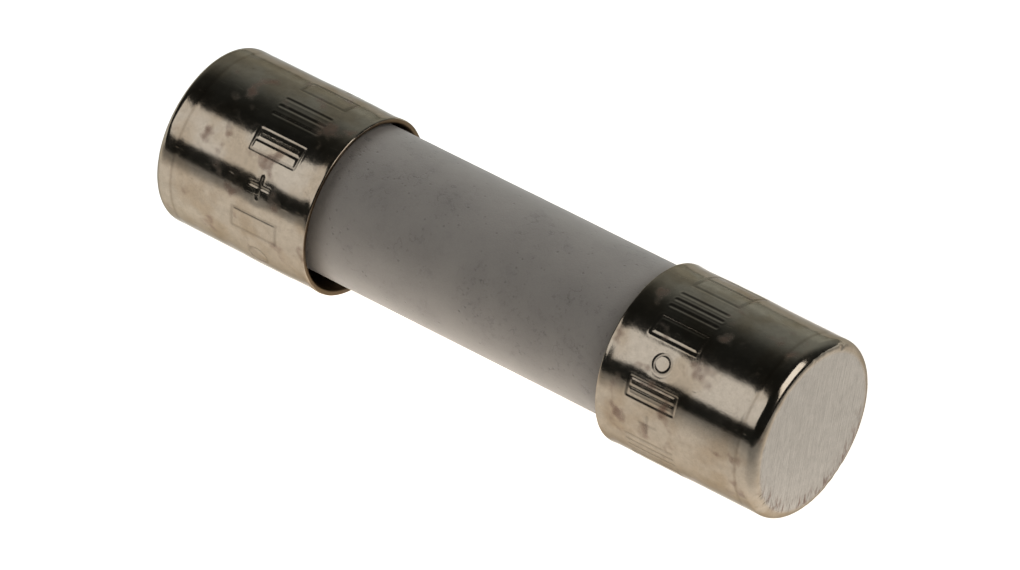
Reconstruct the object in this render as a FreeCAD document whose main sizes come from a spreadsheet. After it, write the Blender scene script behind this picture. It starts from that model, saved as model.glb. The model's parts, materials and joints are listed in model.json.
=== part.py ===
"""Ceramic cartridge fuse of the 5 x 20 size: time-lag, sand filled, with drawn metal end caps.

Frame: the fuse axis is X, +Z is up, and the origin is the middle of the fuse on the axis of its end caps.
Lengths are in millimetres. End "a" is at -X and end "b" at +X.

Pieces, from the outside in: two end caps with a row of stamped marks, the ceramic tube, a solder joint in
each cap, a fibre disc in each end of the bore, the quartz sand between them, and the fuse wire wound on its
glass yarn core. The caps and discs are drawn at +X, and end "a" gets its own turned half round about Z.
"""

import FreeCAD, Part
import os
import re
import Sketcher

SIZES = [  # name, value, what it is
    ("overall_length", 20.2, "end face to end face"),
    ("cap_radius", 2.58, "outside of an end cap"),
    ("cap_length", 5.2, "end cap, end face to rim"),
    ("cap_wall", 0.18, "side wall of a cap"),
    ("cap_end_wall", 0.25, "end wall of a cap"),
    ("cap_corner", 0.3, "outside radius between end face and side"),
    ("cap_inner_corner", 0.14, "inside radius between end wall and side"),
    ("rim_round", 0.05, "rounding of a cap's open rim"),
    ("tube_radius", 2.22, "outside of the ceramic tube"),
    ("tube_bore", 1.45, "radius of the tube's bore"),
    ("tube_length", 19.2, "ceramic tube, end to end"),
    ("tube_chamfer", 0.12, "chamfer of the tube's ends"),
    ("tube_offset", 0.07, "tube axis off the caps' axis, along Y and along Z"),
    ("core_radius", 0.25, "glass yarn core"),
    ("core_length", 18.9, "glass yarn core, end to end"),
    ("wire_radius", 0.06, "fuse wire"),
    ("coil_gap", 0.005, "core to wire"),
    ("coil_pitch", 0.42, "advance of one turn"),
    ("coil_turns", 40, "turns of the winding"),
    ("elbow_excess", 0.001, "radius of the ball between winding and tail, over the wire's"),
    ("tail_bend", 0.15, "radius of the bend in a wire tail"),
    ("tail_height", 1.75, "tip of a folded tail, from the core's axis"),
    ("tail_plane", 0.09, "centre of a folded tail, from the tube's end"),
    ("disc_thickness", 0.3, "fibre disc"),
    ("disc_hole", 0.45, "radius of the hole in a fibre disc"),
    ("disc_inset", 0.4, "tube end to outer face of a disc"),
    ("play", 0.01, "disc and sand to the bore, sand to the winding"),
    ("solder_climb", 0.55, "rise of the solder outside the tube"),
    ("meniscus", 0.06, "dip of the solder between tube and cap"),
    ("mark_depth", 0.035, "depth of a stamped line"),
    ("mark_root", 0.2, "start of a mark's tool, inside the cap's side"),
    ("mark_stroke", 0.16, "width of a stamped line"),
    ("mark_height", 1.6, "a mark, along the axis"),
    ("mark_inset", 2.68, "end face to the near edge of the marks"),
    ("mark_width_a", 0.72, "a mark of cap a, round the cap"),
    ("mark_width_b", 0.62, "a mark of cap b, round the cap"),
    ("mark_width_wide", 1.4, "the wide mark of cap b, round the cap"),
    ("mark_first_a", -10, "angle of mark 0 of cap a from +Z, in degrees"),
    ("mark_step_a", -25.7143, "angle from one mark of cap a to the next, in degrees"),
    ("mark_first_b", 8, "angle of mark 0 of cap b from +Z, in degrees"),
    ("mark_step_b", 20, "angle from one mark of cap b to the next, in degrees"),
]
# The rows of marks, in the order of their numbers. The wide mark of cap b stands in the gap after the last.
MARKS_A = "bars link cross frame ring bars cross link frame bars ring link cross frame".split()
MARKS_B = "bars frame ring link cross bars frame link ring bars cross link frame bars ring cross".split()
WIDE_MARK_NUMBER = 16.5
CIRCLE_TOLERANCE = 1e-4

doc = FreeCAD.newDocument("cartridge_fuse")


def make_sheet():
    """The spreadsheet that holds the driving dimensions."""
    made = doc.addObject("Spreadsheet::Sheet", "sizes")
    for row, (name, value, note) in enumerate(SIZES, start=1):
        made.set("A%d" % row, name)
        made.set("B%d" % row, str(value))
        made.set("C%d" % row, note)
        made.setAlias("B%d" % row, name)
    doc.recompute()
    return made


sheet = make_sheet()
ALIASES = {name for name, _, _ in SIZES}


# Expressions ---------------------------------------------------------------------------------------------
def linked(text):
    """An expression on the driving dimensions, with each name pointed at the sheet."""
    return re.sub(r"[a-z_]+", lambda m: "sizes." + m[0] if m[0] in ALIASES else m[0], str(text))


def size(text):
    """The value of an expression on the driving dimensions."""
    return float(sheet.evalExpression(linked(text)))


def bind(feature, **properties):
    """Binds properties of a feature to expressions. A double underscore in a name stands for a dot."""
    for name, text in properties.items():
        feature.setExpression(name.replace("__", "."), linked(text))
    return feature


# Places along the axis and radii that several pieces share, as expressions.
HALF = "overall_length / 2"
SOCKET = HALF + " - cap_end_wall"  # inner face of a cap's end wall
RIM = HALF + " - cap_length"
CAP_BORE = "cap_radius - cap_wall"
TUBE_END = "tube_length / 2"
DISC_FACE = TUBE_END + " - disc_inset"
SAND_END = DISC_FACE + " - disc_thickness"
COIL_RADIUS = "core_radius + coil_gap + wire_radius"
COIL_HALF = "coil_pitch * coil_turns / 2"
SOLDER_RIM = TUBE_END + " - solder_climb"


# Sketches and features -----------------------------------------------------------------------------------
def make_body(label):
    """A PartDesign body with its own label."""
    body = doc.addObject("PartDesign::Body", label)
    body.Label = label
    return body


def origin_plane(body, role):
    """One of the body's own origin planes."""
    return next(feature for feature in body.Origin.OriginFeatures if feature.Role == role)


def sketch_on(body, role, name):
    """An empty sketch on one of the body's own origin planes."""
    sketch = body.newObject("Sketcher::SketchObject", name)
    sketch.AttachmentSupport = [(origin_plane(body, role), "")]
    sketch.MapMode = "FlatFace"
    return sketch


def dimension(sketch, kind, text, *where):
    """One dimensional constraint, bound to an expression."""
    index = sketch.addConstraint(Sketcher.Constraint(kind, *where, size(text)))
    sketch.setExpression("Constraints[%d]" % index, linked(text))


def pin_point(sketch, edge, end, place):
    """Fixes one end of an edge at a place given as two expressions."""
    dimension(sketch, "DistanceX", place[0], -1, 1, edge, end)
    dimension(sketch, "DistanceY", place[1], -1, 1, edge, end)


def point(place):
    """A place given as two expressions, as a vector."""
    return FreeCAD.Vector(size(place[0]), size(place[1]), 0)


def draw_line(sketch, start, end):
    """A line whose start is pinned. Its end is joined to the next edge."""
    edge = sketch.addGeometry(Part.LineSegment(point(start), point(end)))
    pin_point(sketch, edge, 1, start)
    return edge


def draw_polygon(sketch, corners):
    """A closed outline of straight edges through corners given as expressions."""
    edges = [draw_line(sketch, a, b) for a, b in zip(corners, corners[1:] + corners[:1])]
    for edge, following in zip(edges, edges[1:] + edges[:1]):
        sketch.addConstraint(Sketcher.Constraint("Coincident", edge, 2, following, 1))
    return edges


def draw_rectangle(sketch, left, bottom, right, top):
    """A closed rectangle from expressions for its sides."""
    return draw_polygon(sketch, [(left, bottom), (right, bottom), (right, top), (left, top)])


def draw_circle(sketch, radius, centre=("0", "0")):
    """A circle about a place, with its radius bound."""
    edge = sketch.addGeometry(Part.Circle(point(centre), FreeCAD.Vector(0, 0, 1), size(radius)))
    if centre == ("0", "0"):
        sketch.addConstraint(Sketcher.Constraint("Coincident", edge, 3, -1, 1))
    else:
        pin_point(sketch, edge, 3, centre)
    dimension(sketch, "Radius", radius, edge)
    return edge


def pad(body, sketch, length, symmetric=False, start=None):
    """Pads a sketch by a bound length, on both sides of its plane if symmetric."""
    made = body.newObject("PartDesign::Pad", sketch.Name + "_pad")
    made.Profile = sketch
    made.SideType = "Symmetric" if symmetric else "One side"
    bind(made, Length=length)
    if start is not None:
        bind(sketch, AttachmentOffset__Base__z=start)
    doc.recompute()
    return made


def revolve(body, sketch):
    """Turns a sketch once round its horizontal axis, which is the fuse axis."""
    made = body.newObject("PartDesign::Revolution", sketch.Name + "_turn")
    made.Profile = sketch
    made.ReferenceAxis = (sketch, ["H_Axis"])
    made.Angle = 360
    doc.recompute()
    return made


def round_edges(feature, places):
    """Names of a feature's circular edges about the X axis, from (x, radius) pairs of expressions."""
    wanted = [(size(x), size(radius)) for x, radius in places]
    names = []
    for index, edge in enumerate(feature.Shape.Edges, start=1):
        if not isinstance(edge.Curve, Part.Circle):
            continue
        found = (edge.Curve.Center.x, edge.Curve.Radius)
        if any(abs(found[0] - x) + abs(found[1] - radius) < CIRCLE_TOLERANCE for x, radius in wanted):
            names.append("Edge%d" % index)
    if not names:
        raise RuntimeError("%s has no edge at %s" % (feature.Name, wanted))
    return names


def fillet(body, feature, radius, *places):
    """Rounds circular edges with a bound radius."""
    made = body.newObject("PartDesign::Fillet", feature.Name + "_round")
    made.Base = (feature, round_edges(feature, places))
    bind(made, Radius=radius)
    doc.recompute()
    return made


def chamfer(body, feature, width, *places):
    """Chamfers circular edges with a bound width."""
    made = body.newObject("PartDesign::Chamfer", feature.Name + "_edge")
    made.Base = (feature, round_edges(feature, places))
    bind(made, Size=width)
    doc.recompute()
    return made


def cut(label, base, *tools):
    """Takes tools away from a base, one Part::Cut for each tool. The last one gets the label."""
    for number, tool in enumerate(tools, start=1):
        made = doc.addObject("Part::Cut", "%s_cut_%d" % (label, number))
        made.Base, made.Tool = base, tool
        base = made
    made.Label = label
    doc.recompute()
    return made


def set_off(feature):
    """Moves a piece that belongs to the tube off the caps' axis with it."""
    return bind(feature, Placement__Base__y="tube_offset", Placement__Base__z="tube_offset")


def turn_round(feature):
    """Gives a piece drawn at +X its place at end "a": half a turn about Z."""
    feature.Placement.Rotation = FreeCAD.Rotation(FreeCAD.Vector(0, 0, 1), 180)
    return feature


# Stamped marks -------------------------------------------------------------------------------------------
# Each mark is drawn with the fuse axis to the right, from 0 to mark_height, and its width upwards from 0.
def draw_bars(sketch, width):
    """Three straight lines along the fuse."""
    for low in ("0", "(%s - mark_stroke) / 2" % width, "%s - mark_stroke" % width):
        draw_rectangle(sketch, "0", low, "mark_height", low + " + mark_stroke")


def draw_frame(sketch, width):
    """An upright rectangle drawn as one line."""
    draw_rectangle(sketch, "0", "0", "mark_height", width)
    right, top = "mark_height - mark_stroke", width + " - mark_stroke"
    draw_rectangle(sketch, "mark_stroke", "mark_stroke", right, top)


def draw_link(sketch, width):
    """A rectangle with a line through it from end to end, the plain symbol for a fuse."""
    draw_rectangle(sketch, "0", "0", "mark_height", width)
    below, above = "(%s - mark_stroke) / 2" % width, "(%s + mark_stroke) / 2" % width
    for low, high in (("mark_stroke", below), (above, width + " - mark_stroke")):
        draw_rectangle(sketch, "mark_stroke", low, "mark_height - mark_stroke", high)


def draw_cross(sketch, width):
    """Two crossed lines of equal length."""
    low, high = "(mark_height - %s) / 2" % width, "(mark_height + %s) / 2" % width
    under, over = "(%s - mark_stroke) / 2" % width, "(%s + mark_stroke) / 2" % width
    before, after = "(mark_height - mark_stroke) / 2", "(mark_height + mark_stroke) / 2"
    lower_half = [(low, under), (before, under), (before, "0"), (after, "0"), (after, under), (high, under)]
    upper_half = [(high, over), (after, over), (after, width), (before, width), (before, over), (low, over)]
    draw_polygon(sketch, lower_half + upper_half)


def draw_ring(sketch, width):
    """A round ring."""
    centre = ("mark_height / 2", width + " / 2")
    draw_circle(sketch, width + " / 2", centre)
    draw_circle(sketch, width + " / 2 - mark_stroke", centre)


DRAW = {"bars": draw_bars, "frame": draw_frame, "link": draw_link, "cross": draw_cross, "ring": draw_ring}


def make_mark(name, kind, width, angle):
    """A prism with the outline of one mark, from under the cap's side to outside it, at an angle from +Z."""
    sketch = doc.addObject("Sketcher::SketchObject", name + "_sketch")
    DRAW[kind](sketch, width)
    doc.recompute()
    prism = doc.addObject("Part::Extrusion", name)
    prism.Base = sketch
    prism.DirMode = "Custom"
    prism.Dir = FreeCAD.Vector(0, 0, 1)
    prism.Solid = True
    bind(prism, LengthFwd="mark_root + mark_depth")
    turn = FreeCAD.Rotation(FreeCAD.Vector(1, 0, 0), angle)
    left, bottom = size(HALF + " - mark_inset - mark_height"), size("cap_radius - mark_root")
    corner = FreeCAD.Vector(left, -size(width) / 2, bottom)
    prism.Placement = FreeCAD.Placement(turn.multVec(corner), turn)
    return prism


def make_stamp(name, marks):
    """The tool that presses a row of marks into a cap: prisms cut back by a cylinder to the marks' depth."""
    prisms = [make_mark("%s_%d_%s" % (name, n, mark[0]), *mark) for n, mark in enumerate(marks)]
    row = doc.addObject("Part::Compound", name + "_row")
    row.Links = prisms
    inside = doc.addObject("Part::Cylinder", name + "_inside")
    bind(inside, Radius="cap_radius - mark_depth", Height="overall_length")
    inside.Placement.Rotation = FreeCAD.Rotation(FreeCAD.Vector(0, 1, 0), 90)
    return cut(name, row, inside)


def row_of_marks(kinds, end):
    """The marks of one end as (kind, width, angle)."""
    first, step = size("mark_first_" + end), size("mark_step_" + end)
    return [(kind, "mark_width_" + end, first + number * step) for number, kind in enumerate(kinds)]


# Pieces --------------------------------------------------------------------------------------------------
def make_cap(label, marks):
    """A drawn end cap at +X: a cup with rounded corners and a row of stamped marks round its side."""
    body = make_body(label + "_cup")
    sketch = sketch_on(body, "XZ_Plane", label + "_section")
    outline = [(RIM, CAP_BORE), (SOCKET, CAP_BORE), (SOCKET, "0"), (HALF, "0"), (HALF, "cap_radius")]
    draw_polygon(sketch, outline + [(RIM, "cap_radius")])
    cup = revolve(body, sketch)
    cup = fillet(body, cup, "cap_corner", (HALF, "cap_radius"))
    cup = fillet(body, cup, "cap_inner_corner", (SOCKET, CAP_BORE))
    fillet(body, cup, "rim_round", (RIM, "cap_radius"), (RIM, CAP_BORE))
    return cut(label, body, make_stamp(label + "_stamp", marks))


def make_tube():
    """The ceramic tube, chamfered at both ends."""
    body = make_body("ceramic_tube")
    sketch = sketch_on(body, "YZ_Plane", "tube_section")
    draw_circle(sketch, "tube_radius")
    draw_circle(sketch, "tube_bore")
    tube = pad(body, sketch, "tube_length", symmetric=True)
    ends = [(sign + TUBE_END, radius) for sign in ("", "-") for radius in ("tube_radius", "tube_bore")]
    chamfer(body, tube, "tube_chamfer", *ends)
    return set_off(body)


def make_core():
    """The glass yarn that the wire is wound on."""
    body = make_body("yarn_core")
    sketch = sketch_on(body, "YZ_Plane", "core_section")
    draw_circle(sketch, "core_radius")
    pad(body, sketch, "core_length", symmetric=True)
    return set_off(body)


def make_tail(body, name, side):
    """A wire tail: straight out of the winding, through the disc, then bent up over the tube's end."""
    reach = "tube_length / 2 + tail_plane"
    sketch = sketch_on(body, "XZ_Plane", name + "_line")
    start, corner = (side + COIL_HALF, COIL_RADIUS), (side + "(" + reach + ")", COIL_RADIUS)
    stop = (corner[0], "tail_height")
    bend = (side + "(" + reach + " - tail_bend)", COIL_RADIUS + " + tail_bend")
    leave, arrive = (bend[0], COIL_RADIUS), (corner[0], bend[1])
    middle = FreeCAD.Vector(point(bend))
    middle.x += (size(corner[0]) - size(bend[0])) * 0.5**0.5
    middle.y -= size("tail_bend") * 0.5**0.5
    run = sketch.addGeometry(Part.LineSegment(point(start), point(leave)))
    arc = sketch.addGeometry(Part.Arc(point(leave), middle, point(arrive)))
    rise = sketch.addGeometry(Part.LineSegment(point(arrive), point(stop)))
    pin_point(sketch, run, 1, start)
    pin_point(sketch, run, 2, leave)
    pin_point(sketch, rise, 1, arrive)
    pin_point(sketch, rise, 2, stop)
    pin_point(sketch, arc, 3, bend)
    section = sketch_on(body, "YZ_Plane", name + "_section")
    bind(section, AttachmentOffset__Base__z=start[0])
    draw_circle(section, "wire_radius", ("0", COIL_RADIUS))
    doc.recompute()
    tail = body.newObject("PartDesign::AdditivePipe", name)
    tail.Profile = section
    tail.Spine = (sketch, ["Edge1", "Edge2", "Edge3"])
    tail.Mode = "Frenet"
    doc.recompute()
    return tail


def make_elbow(body, name, side):
    """The ball that rounds the corner between the winding and a tail. It is a hair fuller than the wire."""
    ball = body.newObject("PartDesign::AdditiveSphere", name)
    ball.AttachmentSupport = [(origin_plane(body, "XY_Plane"), "")]
    ball.MapMode = "FlatFace"
    bind(ball, Radius="wire_radius + elbow_excess")
    bind(ball, AttachmentOffset__Base__x=side + COIL_HALF, AttachmentOffset__Base__z=COIL_RADIUS)
    doc.recompute()


def make_wire():
    """The fuse wire: a winding of whole turns with a folded tail at each end."""
    body = make_body("fuse_wire")
    sketch = sketch_on(body, "XZ_Plane", "wire_section")
    draw_circle(sketch, "wire_radius", ("-" + COIL_HALF, COIL_RADIUS))
    coil = body.newObject("PartDesign::AdditiveHelix", "coil")
    coil.Profile = sketch
    coil.ReferenceAxis = (sketch, ["H_Axis"])
    coil.Mode = "pitch-height-angle"
    bind(coil, Pitch="coil_pitch", Height="coil_pitch * coil_turns")
    doc.recompute()
    for name, side in (("tail_b", ""), ("tail_a", "-")):
        make_elbow(body, name + "_elbow", side)
        make_tail(body, name, side)
    return set_off(body)


def make_disc(label):
    """A fibre disc in the bore at +X, with a hole for the core and a wire tail."""
    body = make_body(label)
    sketch = sketch_on(body, "YZ_Plane", label + "_section")
    draw_circle(sketch, "tube_bore - play")
    draw_circle(sketch, "disc_hole")
    pad(body, sketch, "disc_thickness", start=SAND_END)
    return set_off(body)


def make_sand():
    """The sand between the discs, as one mass with a channel for the winding."""
    body = make_body("quartz_sand")
    sketch = sketch_on(body, "YZ_Plane", "sand_section")
    draw_circle(sketch, "tube_bore - play")
    draw_circle(sketch, COIL_RADIUS + " + wire_radius + play")
    pad(body, sketch, "2 * (%s)" % SAND_END, symmetric=True)
    return set_off(body)


def make_solder(label, turned, inner_pieces):
    """The solder in a cap: a plug in the bore, a layer behind the tube and a collar round the tube."""
    body = make_body(label + "_pool")
    sketch = sketch_on(body, "XZ_Plane", label + "_section")
    middle_of_wall = "(tube_radius + tube_bore) / 2"
    dip = (SOLDER_RIM + " + meniscus", "(tube_radius + %s) / 2" % CAP_BORE)
    outside = [(DISC_FACE, "0"), (SOCKET, "0"), (SOCKET, CAP_BORE), (SOLDER_RIM, CAP_BORE)]
    inside = [(SOLDER_RIM, "tube_radius"), (SOLDER_RIM, middle_of_wall), (DISC_FACE, middle_of_wall)]
    draw_polygon(sketch, outside + [dip] + inside)
    fillet(body, revolve(body, sketch), "cap_inner_corner", (SOCKET, CAP_BORE))
    if turned:
        turn_round(body)
    return cut(label, body, *inner_pieces)


def check(pieces):
    """Stops before anything is written if a feature failed or a piece isn't a valid solid."""
    for feature in doc.Objects:
        if "Invalid" in feature.State or "Error" in feature.State:
            raise RuntimeError("%s failed: %s" % (feature.Label, feature.State))
    for piece in pieces:
        shape = piece.Shape
        if shape.isNull() or not shape.isValid() or len(shape.Solids) != 1 or shape.Volume <= 0:
            raise RuntimeError("%s isn't one valid solid" % piece.Label)


def main():
    tube, core, wire, sand = make_tube(), make_core(), make_wire(), make_sand()
    disc_a, disc_b = turn_round(make_disc("fibre_disc_a")), make_disc("fibre_disc_b")
    wide_mark = ("link", "mark_width_wide", size("mark_first_b") + WIDE_MARK_NUMBER * size("mark_step_b"))
    cap_b = make_cap("end_cap_b", row_of_marks(MARKS_B, "b") + [wide_mark])
    cap_a = turn_round(make_cap("end_cap_a", row_of_marks(MARKS_A, "a")))
    solder_a = make_solder("solder_a", True, (tube, core, wire))
    solder_b = make_solder("solder_b", False, (tube, core, wire))
    doc.recompute()
    pieces = [cap_a, cap_b, tube, solder_a, solder_b, disc_a, disc_b, sand, wire, core]
    check(pieces)
    os.makedirs("parts", exist_ok=True)
    for piece in pieces:
        piece.Shape.exportStep("parts/%s.step" % piece.Label)
        box = piece.Shape.BoundBox
        print("%-14s %d solid  %.3f mm3  x %.2f..%.2f" % (
            piece.Label, len(piece.Shape.Solids), piece.Shape.Volume, box.XMin, box.XMax))


main()
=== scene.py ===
"""The finished look of the 5 x 20 ceramic cartridge fuse: its pieces, their materials and a small stage.

Lengths are in metres in the fuse's own frame: the fuse axis is X, +Z is up and the origin is its middle.
"""

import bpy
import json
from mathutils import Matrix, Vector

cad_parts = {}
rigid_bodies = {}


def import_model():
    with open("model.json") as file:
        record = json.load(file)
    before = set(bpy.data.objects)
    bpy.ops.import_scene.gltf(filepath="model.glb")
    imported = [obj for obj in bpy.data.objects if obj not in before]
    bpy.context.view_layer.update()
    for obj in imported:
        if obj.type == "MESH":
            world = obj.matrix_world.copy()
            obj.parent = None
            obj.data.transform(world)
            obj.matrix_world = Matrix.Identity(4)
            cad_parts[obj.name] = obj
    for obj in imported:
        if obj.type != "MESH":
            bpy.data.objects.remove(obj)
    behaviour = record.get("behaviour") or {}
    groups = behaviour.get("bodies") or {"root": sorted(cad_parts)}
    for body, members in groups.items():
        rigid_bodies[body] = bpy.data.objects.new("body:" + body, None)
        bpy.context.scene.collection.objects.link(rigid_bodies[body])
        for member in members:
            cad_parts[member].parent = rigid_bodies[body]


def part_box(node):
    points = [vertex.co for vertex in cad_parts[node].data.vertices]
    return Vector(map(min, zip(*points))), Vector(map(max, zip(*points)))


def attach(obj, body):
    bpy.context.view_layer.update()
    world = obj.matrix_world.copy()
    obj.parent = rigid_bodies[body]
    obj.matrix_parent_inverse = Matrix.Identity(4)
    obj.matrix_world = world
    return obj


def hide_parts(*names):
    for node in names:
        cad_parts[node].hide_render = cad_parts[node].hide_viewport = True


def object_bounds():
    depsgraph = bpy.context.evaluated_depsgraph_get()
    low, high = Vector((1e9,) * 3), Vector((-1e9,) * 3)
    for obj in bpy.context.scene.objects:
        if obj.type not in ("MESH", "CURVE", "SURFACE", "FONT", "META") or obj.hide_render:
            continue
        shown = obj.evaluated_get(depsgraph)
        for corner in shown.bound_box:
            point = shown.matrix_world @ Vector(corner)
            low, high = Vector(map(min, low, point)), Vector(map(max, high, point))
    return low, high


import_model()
CAD_BOX = [list(corner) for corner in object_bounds()]

import json
import math

import bmesh
import bpy
from bpy.props import FloatProperty, FloatVectorProperty, IntProperty, PointerProperty
from mathutils import Matrix, Vector

bl_info = {
    "name": "Ceramic Cartridge Fuse",
    "version": (1, 0, 0),
    "blender": (4, 5, 0),
    "location": "3D View > Sidebar > Fuse",
    "description": "Makes a ceramic cartridge fuse with stamped end caps, piece by piece",
    "category": "Add Mesh",
}

MM = 0.001
BODY = "root"
MERGE = 1e-8  # points closer than this are one point
NODE_SPACING = 180

CAP_LOW, CAP_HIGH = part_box("end_cap_b")
TUBE_LOW, TUBE_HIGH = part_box("ceramic_tube")
SAND_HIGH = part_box("quartz_sand")[1]
CORE_LOW, CORE_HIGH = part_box("yarn_core")
WIRE_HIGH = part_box("fuse_wire")[1]
CAP_RADIUS = CAP_HIGH.z
TUBE_RADIUS = (TUBE_HIGH.z - TUBE_LOW.z) / 2
TUBE_AXIS = (TUBE_LOW + TUBE_HIGH) / 2
CORE_AXIS = (CORE_LOW + CORE_HIGH) / 2

# The rows of stamped marks, in the order of their numbers. The wide mark stands in the gap after the last.
MARK_KINDS = ("bars", "cross", "frame", "link", "ring")
ROUND_KINDS = ("cross", "ring")
MARKS_A = "bars link cross frame ring bars cross link frame bars ring link cross frame".split()
MARKS_B = "bars frame ring link cross bars frame link ring bars cross link frame bars ring cross".split()
WIDE_MARK_NUMBER = 16.5

# Distances between the points of the sections, on each part of a cap, on the tube and on the sand.
FACE_ROWS, SIDE_ROWS, MARK_ROWS, INSIDE_ROWS = 0.16 * MM, 0.085 * MM, 0.0305 * MM, 0.5 * MM
TUBE_ROWS, SAND_ROWS = 0.16 * MM, 0.3 * MM

# Steps of the arcs: a cap's corner, its rim and its inner corner, and the bend in a wire's tail.
CORNER_STEPS, RIM_STEPS, INNER_STEPS, BEND_STEPS = 14, 4, 5, 6

# The wire and the yarn: sides of a strand and points in a turn of the winding. The tail starts a little
# past the last turn, and its end stays clear of the cap.
STRAND_SIDES, TURN_STEPS = 10, 20
TAIL_START, WIRE_CLEARANCE = 0.12 * MM, 0.02 * MM

# The sand: columns of its mass, the most grains to the square metre, the least distance between them in
# grain radii, and the smallest grain as a share of the largest.
SAND_COLUMNS, GRAIN_DENSITY, GRAIN_DISTANCE, SMALLEST_GRAIN = 48, 60.0 / MM / MM, 1.2, 0.65

# Directions of the scoured end face's lines and of the rub marks, round the fuse axis.
SCOUR_ANGLE, RUB_ANGLE = math.radians(14), math.radians(50)

# The softboxes: brightness setting, azimuth and elevation in degrees, size, and whether metal mirrors it.
SOFTBOX_DISTANCE = 0.30
SOFTBOXES = {
    "key_softbox": ("key_level", -42.5, 34.5, (0.189, 0.18), True),
    "side_softbox": ("side_level", 101.0, 46.0, (0.207, 0.26), True),
    "back_softbox": ("fill_level", -141.5, 36.0, (0.30, 0.20), False),
}

# The studio's wall, and its grey levels by how nearly a direction faces it.
WALL = (-0.40, 0.95, 0.15)
WALL_LEVELS = ((0.26, 0.03), (0.52, 0.06), (0.62, 0.125), (0.74, 0.27),
               (0.83, 0.44), (0.955, 0.56), (0.98, 0.72), (0.99, 0.95))

# The floor's glow, in millimetres behind the fuse: where it rises again, dies away and turns cooler. The
# strip along the front foot has a middle and a width, and fades out past the fuse's ends.
FAR_RISE, FAR_FALL, COOLING = (4.0, 20.0), (240.0, 60.0), (-1.0, 14.0)
FOOT_STRIP, FOOT_ENDS = (-1.7, 2.0), (14.0, 10.0)


def length(name, description, default):
    """A length property, given in millimetres."""
    return FloatProperty(
        name=name, description=description, default=default * MM, precision=6,
        subtype="DISTANCE", unit="LENGTH")


def colour(name, description, default):
    """A colour property."""
    return FloatVectorProperty(
        name=name, description=description, default=default, min=0.0, max=1.0, size=3, subtype="COLOR")


def plain(name, description, default):
    """A number property without a unit."""
    return FloatProperty(name=name, description=description, default=default, precision=4)


def angle(name, description, default):
    """An angle property, given in degrees."""
    return FloatProperty(
        name=name, description=description, default=math.radians(default), subtype="ANGLE", unit="ROTATION")


class FUSE_PG_caps(bpy.types.PropertyGroup):
    """Sizes and colours of the end caps."""

    wall: length("Wall", "Side wall of a cap", 0.18)
    end_wall: length("End Wall", "End wall of a cap", 0.25)
    corner: length("Corner", "Outside radius between end face and side", 0.30)
    inner_corner: length("Inner Corner", "Inside radius between end wall and side", 0.14)
    room: length("Room", "Metal's thickness left for waves, lips and the flare", 0.030)
    bulge: length("Stamping Bulge", "Swelling of the side where it is stamped", 0.017)
    rim: length("Rim Rounding", "Rounding of the open rim", 0.05)
    flare: length("Rim Flare", "How far the rim opens out", 0.018)
    flare_reach: length("Flare Reach", "Length of cap that the flare takes", 0.45)
    ring_place: length("Draw Ring Place", "End face to the faint ring that drawing leaves", 0.62)
    ring_depth: length("Draw Ring Depth", "Depth of the faint ring", 0.006)
    ring_width: length("Draw Ring Width", "Width of the faint ring", 0.06)
    unevenness: length("Unevenness", "Waves of the drawn side", 0.008)
    wave: length("Wave Length", "Distance between the waves", 2.2)
    dish: length("Dish", "How far the middle of the end face sinks", 0.02)
    dent: length("Dents", "Depth of the knocks round the end face", 0.03)
    stroke: length("Mark Line", "Width of a stamped line", 0.11)
    depth: length("Mark Depth", "Depth of a stamped line", 0.016)
    lip: length("Mark Lip", "Height of the metal raised beside a line", 0.004)
    press: length("Mark Sink", "How far the metal round a mark sinks", 0.005)
    press_reach: length("Sink Reach", "How far from a line the metal sinks", 0.24)
    mark_height: length("Mark Height", "A mark, along the axis", 1.6)
    mark_inset: length("Mark Inset", "End face to the near edge of the marks", 2.68)
    width_a: length("Mark Width A", "A mark of cap a, round the cap", 0.72)
    width_b: length("Mark Width B", "A mark of cap b, round the cap", 0.62)
    width_wide: length("Wide Mark Width", "The wide mark of cap b, round the cap", 1.4)
    first_a: angle("First Mark A", "Angle of mark 0 of cap a from +Z towards -Y", 10.0)
    step_a: angle("Mark Step A", "Angle from one mark of cap a to the next", 360.0 / 14)
    first_b: angle("First Mark B", "Angle of mark 0 of cap b from +Z towards -Y", 8.0)
    step_b: angle("Mark Step B", "Angle from one mark of cap b to the next", 20.0)
    columns: IntProperty(name="Columns", description="Faces round a cap", default=520, min=24)
    plate: colour("Plate", "Bright nickel plate", (0.350, 0.304, 0.247))
    plate_warm: colour("Warm Plate", "Plate where it yellows", (0.300, 0.245, 0.183))
    face: colour("End Face", "Scoured nickel of the end face", (0.425, 0.402, 0.372))
    edge_tint: colour("Edge Tint", "What a grazing reflection keeps of its light", (0.42, 0.41, 0.39))
    tarnish: colour("Tarnish", "Red-brown tarnish in spots", (0.11, 0.036, 0.020))
    # On the sheared rim this dark brass is partly real tarnish and partly painted shade
    brass: colour("Brass", "Tarnished brass of the sheared rim and the inside", (0.13, 0.095, 0.062))


class FUSE_PG_tube(bpy.types.PropertyGroup):
    """Sizes and colours of the ceramic tube."""

    bore: length("Bore", "Radius of the bore", 1.45)
    chamfer: length("Chamfer", "Chamfer of the ends", 0.12)
    unevenness: length("Unevenness", "Waves of the fired surface", 0.012)
    wave: length("Wave Length", "Distance between the waves", 3.5)
    columns: IntProperty(name="Columns", description="Faces round the tube", default=256, min=24)
    body: colour("Ceramic", "Unglazed ceramic", (0.350, 0.320, 0.290))
    shade: colour("Shade", "Darker clouds in the ceramic", (0.306, 0.279, 0.253))
    dust: plain("Dust", "Fine dust that catches grazing light", 0.25)
    # Painted shade: brown darkening of the ceramic next to the cap rims, where the rims shade it
    painted_rim_shade: colour("Painted Rim Shade", "Brown tint of the ceramic by the caps", (0.24, 0.20, 0.165))
    speck: colour("Specks", "Dark specks and rub marks", (0.17, 0.16, 0.15))


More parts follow.
